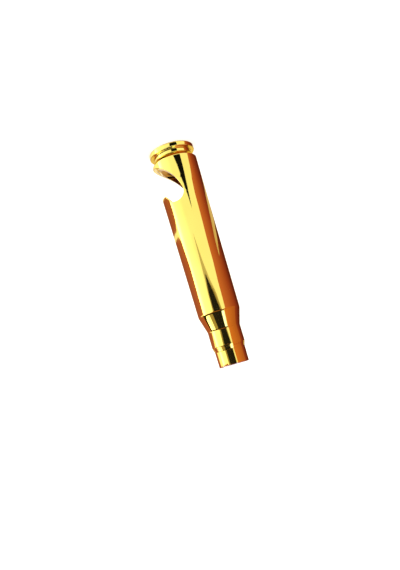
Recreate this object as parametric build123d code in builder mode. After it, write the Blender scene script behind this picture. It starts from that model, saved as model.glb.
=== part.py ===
from build123d import *

import os
from math import cos, hypot, radians, sin

# A bottle opener made from a 12.7 x 99 mm cartridge case. Millimetres. +Z runs from the head to the
# open mouth, the origin is the centre of the head face, and the notch is open towards +X.

os.makedirs("parts", exist_ok=True)

# Outside of the case
LENGTH = 99.3  # head face to mouth
HEAD_D = 20.42  # the rim, and the body where the slope ends
BODY_TAPER = 1.75  # lost in diameter from the head to the shoulder
NECK_D = 14.5
CRIMP_D = 13.3  # the neck just above its step
MOUTH_D = 13.1
MOUTH_L = 6.8  # narrow end of the neck
STEP_L = 2.0  # step between the neck's two diameters
NECK_L = 7.1
SHOULDER_L = 7.05

# Head of the case
RIM_T = 2.05
GROOVE_L = 1.85
GROOVE_DEPTH = 1.61
SLOPE_L = 2.1

# Inside of the case
BASE_WALL = 2.0
SHOULDER_WALL = 0.75
NECK_WALL = 0.75
MOUTH_WALL = 0.65
FLOOR_ROUND = 2.0
WEB_T = 3.0  # brass between the primer pocket and the cavity

# Roundings of the outline
POCKET_BREAK = 0.2
RIM_ROUND = 0.4
RIM_INNER_ROUND = 0.25
GROOVE_ROUND = 0.4
SLOPE_ROUND = 0.6
SHOULDER_ROUND = 4.0
NECK_ROUND = 3.0
STEP_ROUND = 1.1
MOUTH_ROUND = 0.28

# Primer pocket and primer
POCKET_D = 8.0
POCKET_DEPTH = 5.4
FLASH_HOLE_D = 4.0
PRIMER_PLAY = 0.0  # pressed in, modelled size for size
PRIMER_SUNK = 0.15  # the cup's face below the head face
CUP_WALL = 0.55
CUP_FLOOR = 0.6
CUP_ROUND = 0.6
CUP_EDGE = 0.1
DENT_D = 2.6
DENT_DEPTH = 0.55
ANVIL_T = 0.7
ANVIL_FOOT = 0.9  # upright end of each leg
FEET_PROUD = 0.35  # the feet stand out of the cup, on the pocket's floor
ANVIL_GAP = 0.9  # from the cup's dented floor to the anvil's tip
ANVIL_TIP = 0.4  # flat tip, as a share of the anvil's radius
ANVIL_ROUND = 0.15
ANVIL_LEGS = 3
LEG_W = 2.6

# Notch, cut along Y. Depths are measured in from the case's side, rises up from the lip
LIP_STEP = 0.7  # the lip's outer end above the slope
LIP_DEPTH = 4.21  # the lip runs into the long curve
LIP_RISE = 2.45
CURVE_ANGLE = 36  # of the long curve, from X, where the lip runs into it
BACK_DEPTH = 11.63  # the long curve runs into the round lobe
BACK_RISE = 13.9
LOBE_DEPTH = 5.46  # the lobe runs into the tooth's straight back
LOBE_RISE = 18.55
TOOTH_DEPTH = 3.46  # the straight back runs into the tooth's tip
TOOTH_RISE = 15.35
TIP_DEPTH = 2.21
TIP_RISE = 14.65
CUT_PAST = 3.0  # the cut runs on past the case's side
LIP_FALL = 1.12  # the lip's curve has fallen this far there
EDGE_ROUND = 0.3  # of the notch's outer edges

side = HEAD_D / 2
shoulder_r = side - BODY_TAPER / 2
groove_top = RIM_T + GROOVE_L
slope_top = groove_top + SLOPE_L
step_top = LENGTH - MOUTH_L
step_z = step_top - STEP_L
neck_z = step_z - NECK_L
shoulder_z = neck_z - SHOULDER_L
floor_z = POCKET_DEPTH + WEB_T
pocket_r = POCKET_D / 2


def notch_point(depth, rise):
    """Point of the notch's outline on XZ: a depth in from the case's side, a rise above the lip."""
    return side - depth, slope_top + LIP_STEP + rise


def off_axis(edge):
    """Distance of an edge's middle from the case's axis."""
    middle = edge @ 0.5
    return hypot(middle.X, middle.Y)


def draw_notch():
    """Closed outline of the notch: lip, long curve, round lobe and hooked tooth."""
    inward = (-cos(radians(CURVE_ANGLE)), sin(radians(CURVE_ANGLE)))
    outward = (-inward[0], -inward[1])
    corner = notch_point(LIP_DEPTH, LIP_RISE)
    lip = TangentArc(corner, notch_point(-CUT_PAST, -LIP_FALL), tangent=outward)
    curve = TangentArc(corner, notch_point(BACK_DEPTH, BACK_RISE), tangent=inward)
    lobe = TangentArc(curve @ 1, notch_point(LOBE_DEPTH, LOBE_RISE), tangent=curve % 1)
    back = Line(lobe @ 1, notch_point(TOOTH_DEPTH, TOOTH_RISE))
    tip = TangentArc(back @ 1, notch_point(TIP_DEPTH, TIP_RISE), tangent=back % 1)
    above = Line(tip @ 1, notch_point(-CUT_PAST, TIP_RISE))
    Line(above @ 1, lip @ 1)


# Case: one drawn piece, with the notch cut right through its side
outside = [
    (pocket_r, 0, 0),
    (side, 0, 0),
    (side, RIM_T, RIM_INNER_ROUND),
    (side - GROOVE_DEPTH, RIM_T, RIM_INNER_ROUND),
    (side - GROOVE_DEPTH, groove_top, GROOVE_ROUND),
    (side, slope_top, SLOPE_ROUND),
    (shoulder_r, shoulder_z, SHOULDER_ROUND),
    (NECK_D / 2, neck_z, NECK_ROUND),
    (NECK_D / 2, step_z, STEP_ROUND),
    (CRIMP_D / 2, step_top, STEP_ROUND),
    (MOUTH_D / 2, LENGTH, MOUTH_ROUND),
]
inside = [
    (MOUTH_D / 2 - MOUTH_WALL, LENGTH, MOUTH_ROUND),
    (MOUTH_D / 2 - MOUTH_WALL, step_top, STEP_ROUND),
    (NECK_D / 2 - NECK_WALL, step_z, STEP_ROUND),
    (NECK_D / 2 - NECK_WALL, neck_z, NECK_ROUND),
    (shoulder_r - SHOULDER_WALL, shoulder_z, SHOULDER_ROUND),
    (side - BASE_WALL, floor_z, FLOOR_ROUND),
    (FLASH_HOLE_D / 2, floor_z, 0),
    (FLASH_HOLE_D / 2, POCKET_DEPTH, 0),
    (pocket_r, POCKET_DEPTH, 0),
]
outline = outside + inside

with BuildPart() as case:
    with BuildSketch(Plane.XZ):
        with BuildLine():
            FilletPolyline(
                [(r, z) for r, z, _ in outline],
                radius=[rounding for _, _, rounding in outline],
                close=True,
            )
        make_face()
    revolve(axis=Axis.Z)
    pocket_edge, rim_edge = case.faces().sort_by(Axis.Z)[0].edges().sort_by(SortBy.LENGTH)
    fillet(pocket_edge, POCKET_BREAK)
    fillet(rim_edge, RIM_ROUND)
    with BuildSketch(Plane.XZ):
        with BuildLine():
            draw_notch()
        make_face()
    extrude(amount=HEAD_D, both=True, mode=Mode.SUBTRACT)
    notch_edges = case.edges(Select.NEW).filter_by(Axis.Y, reverse=True)
    outer_edges = notch_edges.filter_by(lambda edge: off_axis(edge) > side - BASE_WALL / 2)
    fillet(outer_edges, EDGE_ROUND)
case.part.label = "case"
export_step(case.part, "parts/case.step")

# Primer cup: pressed into the pocket, with the dent that a firing pin leaves
cup_r = pocket_r - PRIMER_PLAY
cup_bore = cup_r - CUP_WALL
cup_top = POCKET_DEPTH - FEET_PROUD
cup_floor = PRIMER_SUNK + CUP_FLOOR

with BuildPart() as primer_cup:
    with BuildSketch(Plane.XZ):
        with BuildLine():
            FilletPolyline(
                (DENT_D / 2, cup_floor),
                (cup_bore, cup_floor),
                (cup_bore, cup_top),
                (cup_r, cup_top),
                (cup_r, PRIMER_SUNK),
                (DENT_D / 2, PRIMER_SUNK),
                radius=[CUP_ROUND, CUP_EDGE, CUP_EDGE, CUP_ROUND],
            )
            for floor in (PRIMER_SUNK, cup_floor):
                ThreePointArc(
                    (DENT_D / 2, floor), (0, floor + DENT_DEPTH), (-DENT_D / 2, floor)
                )
            Line((-DENT_D / 2, PRIMER_SUNK), (-DENT_D / 2, cup_floor))
        make_face()
        split(bisect_by=Plane.YZ)
    revolve(axis=Axis.Z)
primer_cup.part.label = "primer_cup"
export_step(primer_cup.part, "parts/primer_cup.step")

# Primer anvil: a stamped spider inside the cup, its feet on the pocket's floor
tip_z = cup_floor + DENT_DEPTH + ANVIL_GAP
tip_r = ANVIL_TIP * cup_bore

with BuildPart() as primer_anvil:
    with BuildSketch(Plane.XZ):
        with BuildLine():
            FilletPolyline(
                (0, tip_z),
                (tip_r, tip_z),
                (cup_bore, POCKET_DEPTH - ANVIL_FOOT),
                (cup_bore, POCKET_DEPTH),
                (cup_bore - ANVIL_T, POCKET_DEPTH),
                (cup_bore - ANVIL_T, POCKET_DEPTH - ANVIL_FOOT + ANVIL_T / 2),
                (tip_r - ANVIL_T / 2, tip_z + ANVIL_T),
                (0, tip_z + ANVIL_T),
                radius=[ANVIL_ROUND, ANVIL_ROUND, 0, 0, ANVIL_ROUND, ANVIL_ROUND],
            )
            Line((0, tip_z + ANVIL_T), (0, tip_z))
        make_face()
    revolve(axis=Axis.Z)
    with BuildSketch(Plane.XY):
        with PolarLocations(cup_bore, ANVIL_LEGS, start_angle=180 / ANVIL_LEGS):
            Circle(cup_bore - LEG_W / 2)
    extrude(amount=POCKET_DEPTH, mode=Mode.SUBTRACT)
primer_anvil.part.label = "primer_anvil"
export_step(primer_anvil.part, "parts/primer_anvil.step")
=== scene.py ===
from math import cos, radians, sin

import bmesh
import bpy
import numpy as np
from mathutils import Matrix, Vector


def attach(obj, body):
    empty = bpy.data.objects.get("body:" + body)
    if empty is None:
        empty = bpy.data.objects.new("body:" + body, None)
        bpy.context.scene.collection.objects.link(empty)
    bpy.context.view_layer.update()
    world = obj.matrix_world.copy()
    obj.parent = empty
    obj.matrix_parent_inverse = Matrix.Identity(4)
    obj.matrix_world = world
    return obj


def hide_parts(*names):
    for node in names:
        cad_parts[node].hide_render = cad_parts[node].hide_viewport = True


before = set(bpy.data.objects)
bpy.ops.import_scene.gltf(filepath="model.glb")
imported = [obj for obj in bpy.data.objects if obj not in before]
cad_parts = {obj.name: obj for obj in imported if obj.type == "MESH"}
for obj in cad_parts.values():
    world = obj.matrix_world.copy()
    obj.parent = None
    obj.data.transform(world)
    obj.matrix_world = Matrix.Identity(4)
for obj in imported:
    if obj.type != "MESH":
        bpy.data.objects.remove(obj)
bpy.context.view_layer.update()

MM = 0.001


# ---------------------------------------------------------------- colours and nodes


def colour(text, alpha=1.0):
    """sRGB hex to the linear colour that a shader socket holds."""
    parts = [int(text[i : i + 2], 16) / 255 for i in (1, 3, 5)]
    linear = [c / 12.92 if c <= 0.04045 else ((c + 0.055) / 1.055) ** 2.4 for c in parts]
    return (*linear, alpha)


def add(tree, kind, settings=None, **inputs):
    """One node: settings are its attributes, and inputs its sockets, each given a value or linked
    from another node's socket. A socket is called by its name, or by _ and its number: a Mix node
    takes its share at 0, numbers at 2 and 3 and colours at 6 and 7, and gives a colour at 2."""
    node = tree.nodes.new(kind)
    for name, value in (settings or {}).items():
        setattr(node, name, value)
    for name, value in inputs.items():
        key = int(name[1:]) if name[0] == "_" else name.replace("_", " ")
        socket = node.inputs[key]
        if isinstance(value, bpy.types.NodeSocket):
            tree.links.new(value, socket)
        else:
            socket.default_value = value
    return node


def material(name):
    made = bpy.data.materials.new(name)
    made.use_nodes = True
    made.node_tree.nodes.clear()
    return made, made.node_tree


# ---------------------------------------------------------------- turned pieces

SAME_SURFACE = cos(radians(32))  # faces that meet at less than this bend share a smooth normal
FLAT = 0.04  # sine of the angle up to which a direction counts as lying in a plane
MERGE = 0.0005 * MM  # corners closer than this are one
FACES_IN = -0.3  # a normal's outward share, below which its face looks at the axis
FACES_UP = 0.3  # a normal's upward share, above which its face is part of a floor
LEVEL = 0.9  # a normal's upward share, above which its face is level
POCKET_R = 4.1 * MM  # a little over the primer pocket's radius
FLOOR_Z = 8.3 * MM  # a little under the cavity's floor
CAVITY_R = 8.3 * MM  # a little over the cavity's radius beside its floor
SKIN_R = 10.21 * MM  # the case's outer radius at the head
MOUTH_Z = 98.9 * MM  # a little under the trimmed mouth


def unit(vectors):
    return vectors / np.maximum(np.linalg.norm(vectors, axis=-1, keepdims=True), 1e-12)


class Faces:
    """What the triangles of a mesh have: corners, middles, normals, areas, and their place on the
    turned piece. outward is how far a normal points away from Z, turned is a face swung about Z."""

    def __init__(self, mesh):
        self.spots = np.array([v.co for v in mesh.vertices])
        self.corners = np.array([p.vertices for p in mesh.polygons])
        self.normals = np.array([p.normal for p in mesh.polygons])
        self.areas = np.array([p.area for p in mesh.polygons])[:, None]
        self.middles = self.spots[self.corners].mean(axis=1)
        radial = unit(self.middles * (1, 1, 0))
        self.radius = np.linalg.norm(self.middles[:, :2], axis=1)
        self.outward = (self.normals * radial).sum(axis=1)
        self.turned = abs((self.normals * np.cross((0, 0, 1), radial)).sum(axis=1)) < FLAT


def corner_normals(faces):
    """One normal for each face corner. On faces turned about Z it is swung round the axis, so that a
    mirror finish shows no facets, and elsewhere it is the mean of the faces that run on smoothly."""
    tilts = np.stack([faces.outward, faces.normals[:, 2]], axis=1)
    users = [[] for _ in faces.spots]
    for index, corners in enumerate(faces.corners):
        for corner in corners:
            users[corner].append(index)
    made = []
    for index, corners in enumerate(faces.corners):
        for corner in corners:
            near = np.array(users[corner])
            near = near[faces.normals[near] @ faces.normals[index] > SAME_SURFACE]
            round_axis = near[faces.turned[near]]
            if len(round_axis):
                out, up = (tilts[round_axis] * faces.areas[round_axis]).sum(axis=0)
                side = unit(faces.spots[corner] * (1, 1, 0))
                made.append(unit(side * out + np.array((0, 0, up))))
            else:
                made.append(unit((faces.normals[near] * faces.areas[near]).sum(axis=0)))
    return made


def paint(mesh, name, shares):
    """A number for each face, which a material reads as an attribute."""
    layer = mesh.attributes.new(name, "FLOAT", "FACE")
    layer.data.foreach_set("value", np.asarray(shares, dtype=float))


def mark_case(mesh, faces):
    """Marks the case's fired inside and its cut edges, which its finish tells apart. The notch is
    cut straight across, along Y, so its faces have no Y in their normals."""
    height, up = faces.middles[:, 2], faces.normals[:, 2]
    wall = faces.turned & (faces.outward < FACES_IN) & (height > FLOOR_Z)
    floor = (up > FACES_UP) & (faces.radius < CAVITY_R) & (height > FLOOR_Z) & (height < MOUTH_Z)
    paint(mesh, "inside", wall | floor | (faces.radius < POCKET_R))
    notch = ~faces.turned & (abs(faces.normals[:, 1]) < FLAT)
    mouth = (up > LEVEL) & (height > MOUTH_Z)
    paint(mesh, "cut", notch | mouth)


def turned_piece(node_name, finish, mark=None):
    """The CAD node as one closed, smoothly shaded shell, which stands for it."""
    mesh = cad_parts[node_name].data.copy()
    shell = bmesh.new()
    shell.from_mesh(mesh)
    bmesh.ops.remove_doubles(shell, verts=shell.verts, dist=MERGE)
    shell.to_mesh(mesh)
    shell.free()
    faces = Faces(mesh)
    if mark:
        mark(mesh, faces)
    mesh.shade_smooth()
    mesh.normals_split_custom_set([tuple(normal) for normal in corner_normals(faces)])
    mesh.materials.clear()
    mesh.materials.append(finish)
    piece = bpy.data.objects.new(node_name + "_finished", mesh)
    bpy.context.scene.collection.objects.link(piece)
    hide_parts(node_name)
    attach(piece, "root")


# ---------------------------------------------------------------- materials

BRIGHT_R = SKIN_R - 1.2 * MM  # outside this radius the notch's cut keeps its bare colour, free of the painted shade further in
CUT_SHADE_R = SKIN_R - 2 * MM  # inside this radius the notch's cut is painted fully with the inside's colour, as painted shade
LACQUER_Z = MOUTH_Z - 0.2 * MM  # where the lacquer starts to thin towards the trimmed mouth
DARK_TO_PALE_Z = (8 * MM, 60 * MM)  # heights between which the inside's colour, and the painted shade on the cut, go from darker to paler
DENT_R = (0.4 * MM, 1.6 * MM)  # radii between which the firing pin's dent fades out


def polished_brass():
    """Cartridge brass, buffed to a mirror and lacquered: deep yellow, sharp reflections, faint
    hairlines round the case from the buffing wheel and a slow ripple from the drawing. The cut
    edges of the notch and the mouth are paler bare metal with a fine grit, and the inside is
    dull and browned by the firing, darker towards the head. Further in from the skin, the
    notch's cut is painted with the inside's colour as painted shade."""
    made, tree = material("mirror_polished_cartridge_brass")
    place = add(tree, "ShaderNodeTexCoord").outputs["Object"]
    inside = add(tree, "ShaderNodeAttribute", {"attribute_name": "inside"}).outputs["Fac"]
    cut = add(tree, "ShaderNodeAttribute", {"attribute_name": "cut"}).outputs["Fac"]

    # the cut keeps its bare colour next to the skin, and further in it is painted with the inside's
    # colour as painted shade
    flat_place = add(tree, "ShaderNodeMapping", Vector=place, Scale=(1, 1, 0))
    off_axis = add(
        tree, "ShaderNodeVectorMath", {"operation": "LENGTH"}, _0=flat_place.outputs[0]
    )
    in_wall = add(
        tree, "ShaderNodeMapRange",
        Value=off_axis.outputs["Value"], From_Min=CUT_SHADE_R, From_Max=BRIGHT_R,
    )
    bright_cut = add(
        tree, "ShaderNodeMath", {"operation": "MULTIPLY"}, _0=cut, _1=in_wall.outputs[0]
    )
    # the cut further in from the skin, which is painted with the inside's colour as painted shade
    painted_shade_cut = add(
        tree, "ShaderNodeMath", {"operation": "SUBTRACT"}, _0=cut, _1=bright_cut.outputs[0]
    )
    # mask of the inside's fired brown, together with the painted shade on the notch's inner cut
    stained_and_shaded = add(
        tree, "ShaderNodeMath", {"operation": "MAXIMUM"}, _0=inside, _1=painted_shade_cut.outputs[0]
    )
    # the last half millimetre of the mouth is bare, where the trimming took the lacquer off
    height = add(tree, "ShaderNodeSeparateXYZ", Vector=place).outputs["Z"]
    trimmed = add(
        tree, "ShaderNodeMapRange", Value=height, From_Min=LACQUER_Z, From_Max=MOUTH_Z
    )

    # drawing ripple: swells about 9 mm across and 25 mm long
    stretched = add(tree, "ShaderNodeMapping", Vector=place, Scale=(1, 1, 0.35))
    ripple = add(tree, "ShaderNodeTexNoise", Vector=stretched.outputs[0], Scale=110.0, Detail=1.0)
    # buffing hairlines: 0.25 mm apart along the case, and long round it
    ringed = add(tree, "ShaderNodeMapping", Vector=place, Scale=(0.05, 0.05, 1))
    hairs = add(tree, "ShaderNodeTexNoise", Vector=ringed.outputs[0], Scale=4000.0, Detail=2.0)
    # grit of the bare surfaces: 0.3 mm grains, drawn coarser than real so that they show
    grit = add(tree, "ShaderNodeTexNoise", Vector=place, Scale=3300.0, Detail=3.0)
    # tarnish, lacquer and handling: slow clouds some 12 mm across
    cloud = add(tree, "ShaderNodeTexNoise", Vector=place, Scale=85.0, Detail=3.0)

    lacquered = add(
        tree, "ShaderNodeMix", {"data_type": "RGBA"},
        _0=cloud.outputs[0], _6=colour("#EAD263"), _7=colour("#F0DE74"),
    )
    milled = add(
        tree, "ShaderNodeMix", {"data_type": "RGBA"},
        _0=bright_cut.outputs[0], _6=lacquered.outputs[2], _7=colour("#EAD07C"),
    )
    edged = add(
        tree, "ShaderNodeMix", {"data_type": "RGBA"},
        _0=trimmed.outputs[0], _6=milled.outputs[2], _7=colour("#DCC8C4"),
    )
    # the inside's fired brown and the painted shade on the cut follow the clouds, and are darker
    # towards the head
    away = add(
        tree, "ShaderNodeMapRange",
        Value=height, From_Min=DARK_TO_PALE_Z[0], From_Max=DARK_TO_PALE_Z[1], To_Min=-0.25, To_Max=0.35,
    )
    stain_and_shade = add(
        tree, "ShaderNodeMath", {"operation": "ADD", "use_clamp": True},
        _0=cloud.outputs[0], _1=away.outputs[0],
    )
    # the inside's brown, which is also the colour of the painted shade on the notch's inner cut
    fired_brown_and_shade = add(
        tree, "ShaderNodeMix", {"data_type": "RGBA"},
        _0=stain_and_shade.outputs[0], _6=colour("#A06C1C"), _7=colour("#E6C05A"),
    )
    tint = add(
        tree, "ShaderNodeMix", {"data_type": "RGBA"},
        _0=stained_and_shaded.outputs[0], _6=edged.outputs[2], _7=fired_brown_and_shade.outputs[2],
    )

    # roughness of the lacquer, of bare cut metal, and of the sooty inside
    gloss = add(
        tree, "ShaderNodeMapRange",
        Value=cloud.outputs[0], From_Min=0.3, From_Max=0.75, To_Min=0.03, To_Max=0.06,
    )
    bare = add(
        tree, "ShaderNodeMapRange",
        Value=grit.outputs[0], From_Min=0.3, From_Max=0.7, To_Min=0.12, To_Max=0.2,
    )
    sooty = add(
        tree, "ShaderNodeMapRange",
        Value=stain_and_shade.outputs[0], From_Min=0.2, From_Max=0.8, To_Min=0.22, To_Max=0.14,
    )
    bare_metal = add(
        tree, "ShaderNodeMath", {"operation": "MAXIMUM"},
        _0=bright_cut.outputs[0], _1=trimmed.outputs[0],
    )
    edge_rough = add(
        tree, "ShaderNodeMix", _0=bare_metal.outputs[0], _2=gloss.outputs[0], _3=bare.outputs[0]
    )
    rough = add(
        tree, "ShaderNodeMix", _0=stained_and_shaded.outputs[0], _2=edge_rough.outputs[0], _3=sooty.outputs[0]
    )

    swell = add(tree, "ShaderNodeBump", Strength=0.05, Distance=0.15 * MM, Height=ripple.outputs[0])
    fine = add(
        tree, "ShaderNodeBump", Strength=0.02, Distance=0.01 * MM,
        Height=hairs.outputs[0], Normal=swell.outputs[0],
    )
    raw = add(tree, "ShaderNodeMath", {"operation": "MAXIMUM"}, _0=cut, _1=inside)
    grain = add(
        tree, "ShaderNodeMath", {"operation": "MULTIPLY"}, _0=raw.outputs[0], _1=grit.outputs[0]
    )
    rubbed = add(
        tree, "ShaderNodeBump", Strength=0.25, Distance=0.01 * MM,
        Height=grain.outputs[0], Normal=fine.outputs[0],
    )
    skin = add(
        tree, "ShaderNodeBsdfPrincipled",
        Base_Color=tint.outputs[2], Metallic=1.0, Roughness=rough.outputs[0],
        Normal=rubbed.outputs[0],
    )
    add(tree, "ShaderNodeOutputMaterial", Surface=skin.outputs[0])
    return made


def primer_brass():
    """Primer cup of softer, paler brass, stamped and then buffed with the head: a satin surface
    with fine drawn lines and a browner tone in the firing pin's dent."""
    made, tree = material("satin_stamped_primer_brass")
    place = add(tree, "ShaderNodeTexCoord").outputs["Object"]
    # the dent is round the axis, and gets darker towards it
    flat_place = add(tree, "ShaderNodeMapping", Vector=place, Scale=(1, 1, 0))
    off_axis = add(
        tree, "ShaderNodeVectorMath", {"operation": "LENGTH"}, _0=flat_place.outputs[0]
    )
    dent = add(
        tree, "ShaderNodeMapRange",
        Value=off_axis.outputs["Value"], From_Min=DENT_R[0], From_Max=DENT_R[1],
        To_Min=1.0, To_Max=0.0,
    )
    # wear clouds about 2 mm across, and drawn lines 0.2 mm apart
    cloud = add(tree, "ShaderNodeTexNoise", Vector=place, Scale=500.0, Detail=4.0)
    lines_at = add(tree, "ShaderNodeMapping", Vector=place, Scale=(0.08, 1, 1))
    lines = add(tree, "ShaderNodeTexNoise", Vector=lines_at.outputs[0], Scale=5000.0, Detail=2.0)
    worn = add(
        tree, "ShaderNodeMix", {"data_type": "RGBA"},
        _0=cloud.outputs[0], _6=colour("#D6B65C"), _7=colour("#EAD58A"),
    )
    tint = add(
        tree, "ShaderNodeMix", {"data_type": "RGBA"},
        _0=dent.outputs[0], _6=worn.outputs[2], _7=colour("#A27C3A"),
    )
    satin = add(
        tree, "ShaderNodeMapRange",
        Value=cloud.outputs[0], From_Min=0.3, From_Max=0.7, To_Min=0.14, To_Max=0.26,
    )
    scored = add(tree, "ShaderNodeBump", Strength=0.2, Distance=0.01 * MM, Height=lines.outputs[0])
    skin = add(
        tree, "ShaderNodeBsdfPrincipled",
        Base_Color=tint.outputs[2], Metallic=1.0, Roughness=satin.outputs[0],
        Normal=scored.outputs[0],
    )
    add(tree, "ShaderNodeOutputMaterial", Surface=skin.outputs[0])
    return made


def anvil_brass():
    """Punched sheet brass of the anvil, dull and blackened in patches by the primer's flash."""
    made, tree = material("flash_stained_anvil_brass")
    place = add(tree, "ShaderNodeTexCoord").outputs["Object"]
    # soot patches about 1.5 mm across, and a 0.15 mm grit in them
    patch = add(tree, "ShaderNodeTexNoise", Vector=place, Scale=650.0, Detail=5.0)
    grit = add(tree, "ShaderNodeTexNoise", Vector=place, Scale=6500.0, Detail=2.0)
    soot = add(
        tree, "ShaderNodeMapRange",
        Value=patch.outputs[0], From_Min=0.42, From_Max=0.6, To_Min=0.0, To_Max=1.0,
    )
    tint = add(
        tree, "ShaderNodeMix", {"data_type": "RGBA"},
        _0=soot.outputs[0], _6=colour("#9C8043"), _7=colour("#3A3026"),
    )
    dull = add(tree, "ShaderNodeMapRange", Value=soot.outputs[0], To_Min=0.32, To_Max=0.6)
    rubbed = add(tree, "ShaderNodeBump", Strength=0.3, Distance=0.01 * MM, Height=grit.outputs[0])
    skin = add(
        tree, "ShaderNodeBsdfPrincipled",
        Base_Color=tint.outputs[2], Metallic=1.0, Roughness=dull.outputs[0],
        Normal=rubbed.outputs[0],
    )
    add(tree, "ShaderNodeOutputMaterial", Surface=skin.outputs[0])
    return made


turned_piece("case", polished_brass(), mark_case)
turned_piece("primer_cup", primer_brass())
turned_piece("primer_anvil", anvil_brass())


# ---------------------------------------------------------------- camera

SENSOR = 36  # mm, along the frame's long side
FOCAL = 33.676  # mm
CLIP = (0.01, 20)  # metres from the camera between which things are drawn
DISTANCE = 230 * MM  # from the camera to the case's axis
EYE_Z = 95.7 * MM
ORBIT = radians(6.3)  # how far round the case the camera stands from -Y
YAW = ORBIT + radians(1.129)
PITCH = radians(-8.257)
ROLL = radians(180 - 16.40)


def make_camera():
    """Looks at the notch's side from near the mouth's height, turned so the head is up."""
    data = bpy.data.cameras.new("camera")
    data.sensor_width, data.lens = SENSOR, FOCAL
    data.clip_start, data.clip_end = CLIP
    camera = bpy.data.objects.new("camera", data)
    bpy.context.scene.collection.objects.link(camera)
    forward = Vector((sin(YAW) * cos(PITCH), cos(YAW) * cos(PITCH), sin(PITCH)))
    right = forward.cross(Vector((0, 0, 1))).normalized()
    up = right.cross(forward)
    side = cos(ROLL) * right + sin(ROLL) * up
    top = -sin(ROLL) * right + cos(ROLL) * up
    turn = Matrix((side, top, -forward)).transposed()
    place = Vector((-DISTANCE * sin(ORBIT), -DISTANCE * cos(ORBIT), EYE_Z))
    camera.matrix_world = Matrix.Translation(place) @ turn.to_4x4()
    bpy.context.scene.camera = camera


make_camera()


# ---------------------------------------------------------------- light and floor

TENT_R = 1.5  # metres from the object to its light tent
TENT_STEP = 2.0  # degrees between the tent's corners
LAYER = 0.004  # metres that a later card stands in front of an earlier one
FLOOR_HALF = 3.0  # metres from the object to the floor's edge

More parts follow.
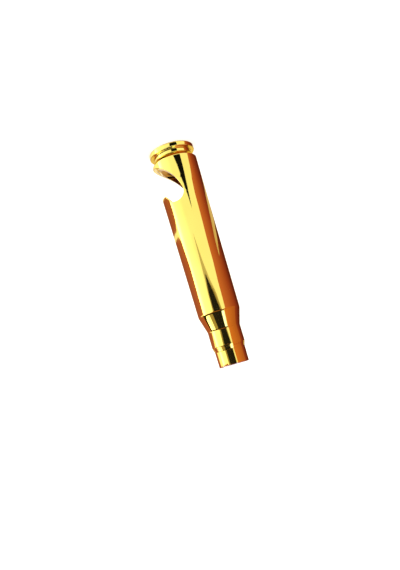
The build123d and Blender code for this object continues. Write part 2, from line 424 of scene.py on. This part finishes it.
# Cards of the tent: tint and glow at the left edge and at the right edge, then the edges as
# (elevation, left azimuth, right azimuth) from below. Azimuths are degrees from the camera
# towards the notch. Later cards stand in front of earlier ones.
CARDS = {
    # white walls at the front, brighter towards the right
    "front_left": ("#FFFFFF", 1.2, "#FFFFFF", 1.3, [(-90, -100, 20), (90, -100, 20)]),
    "front_right": ("#FFFFFF", 1.3, "#FFFFFF", 1.9, [(-90, 20, 64), (90, 20, 64)]),
    "flare_right": ("#FFFFFF", 1.9, "#FFFFFF", 4.5, [(-90, 64, 88), (90, 64, 88)]),
    "far_right": ("#FFFFFF", 1.6, "#E8D0A8", 1.0, [(-90, 88, 180), (90, 88, 180)]),
    # warm cards at both sides, which colour the brass orange along its outlines
    "warm_right_low": (
        "#BE6A58", 1.0, "#8D484E", 1.0,
        [(-18.4, 106, 180), (-17.8, 92, 180), (-16.4, 84, 180), (-15, 87, 180), (-13.9, 102, 180)],
    ),
    "warm_right": (
        "#C76F63", 1.0, "#8D484E", 1.0,
        [
            (-13.2, 104, 180), (-12.4, 90, 180), (-9, 83, 180), (-4, 89, 180),
            (-1.2, 98, 180), (0, 104, 180), (1.4, 118, 180),
            (3, 118, 180), (12, 100, 180), (30, 100, 180), (34, 120, 180), (50, 120, 180),
        ],
    ),
    "warm_left": (
        "#A84A3C", 1.0, "#DB7B5E", 1.0,
        [
            (-90, -100, -90), (-24, -100, -84), (-22.2, -100, -79), (-20.6, -100, -74),
            (-19, -100, -63), (-17.4, -100, -57), (-14.5, -100, -54), (-11.6, -100, -49),
            (-8.7, -100, -47), (-5.9, -100, -41), (-4.7, -100, -40), (-1, -100, -36),
            (0, -100, -30), (2, -100, -28), (10, -100, -36), (90, -100, -36),
        ],
    ),
    "neck_glow": (
        "#B4603E", 1.1, "#E48650", 1.05, [(-1.6, -100, -36), (0, -100, -30), (40, -100, -34)],
    ),
    "brown_left": ("#6B2A28", 1.0, "#A84A3C", 1.0, [(-90, -132, -100), (90, -132, -100)]),
    "brown_back": ("#7A3A34", 1.0, "#66262A", 1.0, [(-90, -180, -132), (90, -180, -132)]),
    # the slim bright line in the right-hand warm side
    "streak": (
        "#E8CCB8", 1.0, "#E8CCB8", 0.9,
        [
            (-20, -166, -152), (-19, -166, -148), (-17.4, -164, -130), (-14.5, -146, -114),
            (-11.6, -117, -98), (-9.6, -98, -94),
        ],
    ),
    # dark wedges, with a soft haze and shade round the upper one and a cold slit beside it
    "wedge_low": (
        "#16161A", 1.0, "#16161A", 1.0,
        [
            (-26.8, -35, -3), (-24.5, -36, -2), (-23.2, -38.5, 0), (-22.2, -38, -3),
            (-20.6, -36, -10), (-19, -31, -14), (-15.6, -20, -19),
        ],
    ),
    "haze": (
        "#D8CCBC", 1.0, "#D8CCBC", 1.0,
        [(-12.4, 11, 12), (-9.2, 6, 17), (-6.5, -3, 22), (-4.7, -16, 27), (-2, -20, 30)],
    ),
    "shade": (
        "#B4A078", 1.0, "#B4A078", 1.0,
        [
            (-6, 2, 22), (-4.7, -12, 26), (-2, -18, 28), (0, -21, 34), (2, -22, 37), (8, -22, 40),
            (12, -10, 56), (30, -8, 58), (34, -6, 40), (60, -4, 34),
        ],
    ),
    "white_slit": ("#B4C8FF", 4.0, "#B4C8FF", 4.0, [(14, -28, -16), (31, -29, -16), (40, -26, -10)]),
    "wedge_high": (
        "#222024", 1.0, "#28262A", 1.0,
        [
            (-7.2, 9, 14), (-5.9, 3, 19), (-4.7, -4, 23), (-3, -10, 24), (-1, -14, 22),
            (0, -18, 26), (2, -20, 28), (6, -20, 28), (12, -15, 37), (26, -16, 38),
            (31, -14, 36), (34, -8, 32), (60, 0, 30),
        ],
    ),
    # the thin dark line at each bend, and the orange band in the groove
    "outline": ("#2E2412", 1.0, "#2E2412", 1.0, [(9, -30, 100), (21, -30, 100)]),
    "slope_glow": ("#C06C3C", 1.0, "#D08850", 1.0, [(5.2, -70, 120), (9, -70, 120)]),
    # above, behind and below
    "sky": ("#E4E2FA", 1.7, "#E4E2FA", 1.7, [(43, -180, 180), (90, -180, 180)]),
    "back_low": ("#FFF6E4", 1.15, "#FFF6E4", 1.15, [(-66, 158, 202), (10, 158, 202)]),
    "back": ("#F4D8A0", 1.05, "#F4D8A0", 1.05, [(10, 135, 225), (66, 135, 225)]),
    "ground_back": ("#C87850", 1.0, "#C87850", 1.0, [(-68, 95, 265), (-34, 118, 242)]),
    "ground": ("#C87850", 1.0, "#D58A58", 1.0, [(-90, -180, 180), (-66, -180, 180)]),
}


def tent_points(azimuths, elevation, radius):
    """Points of the tent at one height, a row of azimuths."""
    turned = np.radians(azimuths) - ORBIT
    across, rise = radius * cos(radians(elevation)), radius * sin(radians(elevation))
    up = np.full(len(azimuths), EYE_Z / 2 + rise)
    return np.stack([across * np.sin(turned), -across * np.cos(turned), up], axis=1)


def make_tent():
    """Cards round the object that only its reflections see, as in a product studio."""
    points, faces, glows = [], [], []
    for order, (left_tint, left_glow, right_tint, right_glow, edges) in enumerate(CARDS.values()):
        levels, lefts, rights = np.array(edges).T
        rows = np.union1d(levels, np.arange(levels[0], levels[-1], TENT_STEP))
        columns = 1 + int(np.ceil(max(rights - lefts) / TENT_STEP))
        share = np.linspace(0, 1, columns + 1)[:, None]
        left = np.array(colour(left_tint)) * left_glow
        right = np.array(colour(right_tint)) * right_glow
        for row, level in enumerate(rows):
            low, high = np.interp(level, levels, lefts), np.interp(level, levels, rights)
            azimuths = low + (high - low) * share[:, 0]
            if row:
                start = len(points) - columns - 1
                for corner in range(start, start + columns):
                    faces.append((corner, corner + 1, corner + columns + 2, corner + columns + 1))
            points.extend(tent_points(azimuths, level, TENT_R - LAYER * order))
            glows.extend(left + (right - left) * share)
    mesh = bpy.data.meshes.new("tent")
    mesh.from_pydata([tuple(point) for point in points], [], faces)
    shine = mesh.color_attributes.new("glow", "FLOAT_COLOR", "POINT")
    shine.data.foreach_set("color", np.array(glows).ravel())
    tent = bpy.data.objects.new("tent", mesh)
    bpy.context.scene.collection.objects.link(tent)
    made, tree = material("tent_card")
    seen = add(tree, "ShaderNodeAttribute", {"attribute_name": "glow"})
    glow = add(tree, "ShaderNodeEmission", Color=seen.outputs["Color"])
    add(tree, "ShaderNodeOutputMaterial", Surface=glow.outputs[0])
    mesh.materials.append(made)
    tent.visible_camera = tent.visible_diffuse = tent.visible_shadow = False


def make_world(tint, strength):
    world = bpy.data.worlds.new("studio")
    world.use_nodes = True
    back = world.node_tree.nodes["Background"]
    back.inputs["Color"].default_value = colour(tint)
    back.inputs["Strength"].default_value = strength
    bpy.context.scene.world = world


def make_floor():
    """Pale paper, which the brass doesn't mirror: the tent goes on below it."""
    mesh = bpy.data.meshes.new("floor")
    signs = [(-1, -1), (1, -1), (1, 1), (-1, 1)]
    corners = [(x * FLOOR_HALF, y * FLOOR_HALF, 0) for x, y in signs]
    mesh.from_pydata(corners, [], [(0, 1, 2, 3)])
    floor = bpy.data.objects.new("floor", mesh)
    bpy.context.scene.collection.objects.link(floor)
    made, tree = material("pale_paper")
    skin = add(tree, "ShaderNodeBsdfPrincipled", Base_Color=colour("#FAFAF8"), Roughness=0.9)
    add(tree, "ShaderNodeOutputMaterial", Surface=skin.outputs[0])
    mesh.materials.append(made)
    floor.visible_glossy = False


make_world("#FFFFFF", 1.5)
make_floor()
make_tent()

# the plain view transform keeps polished brass as yellow and as bright as it is
bpy.context.scene.view_settings.view_transform = "Standard"
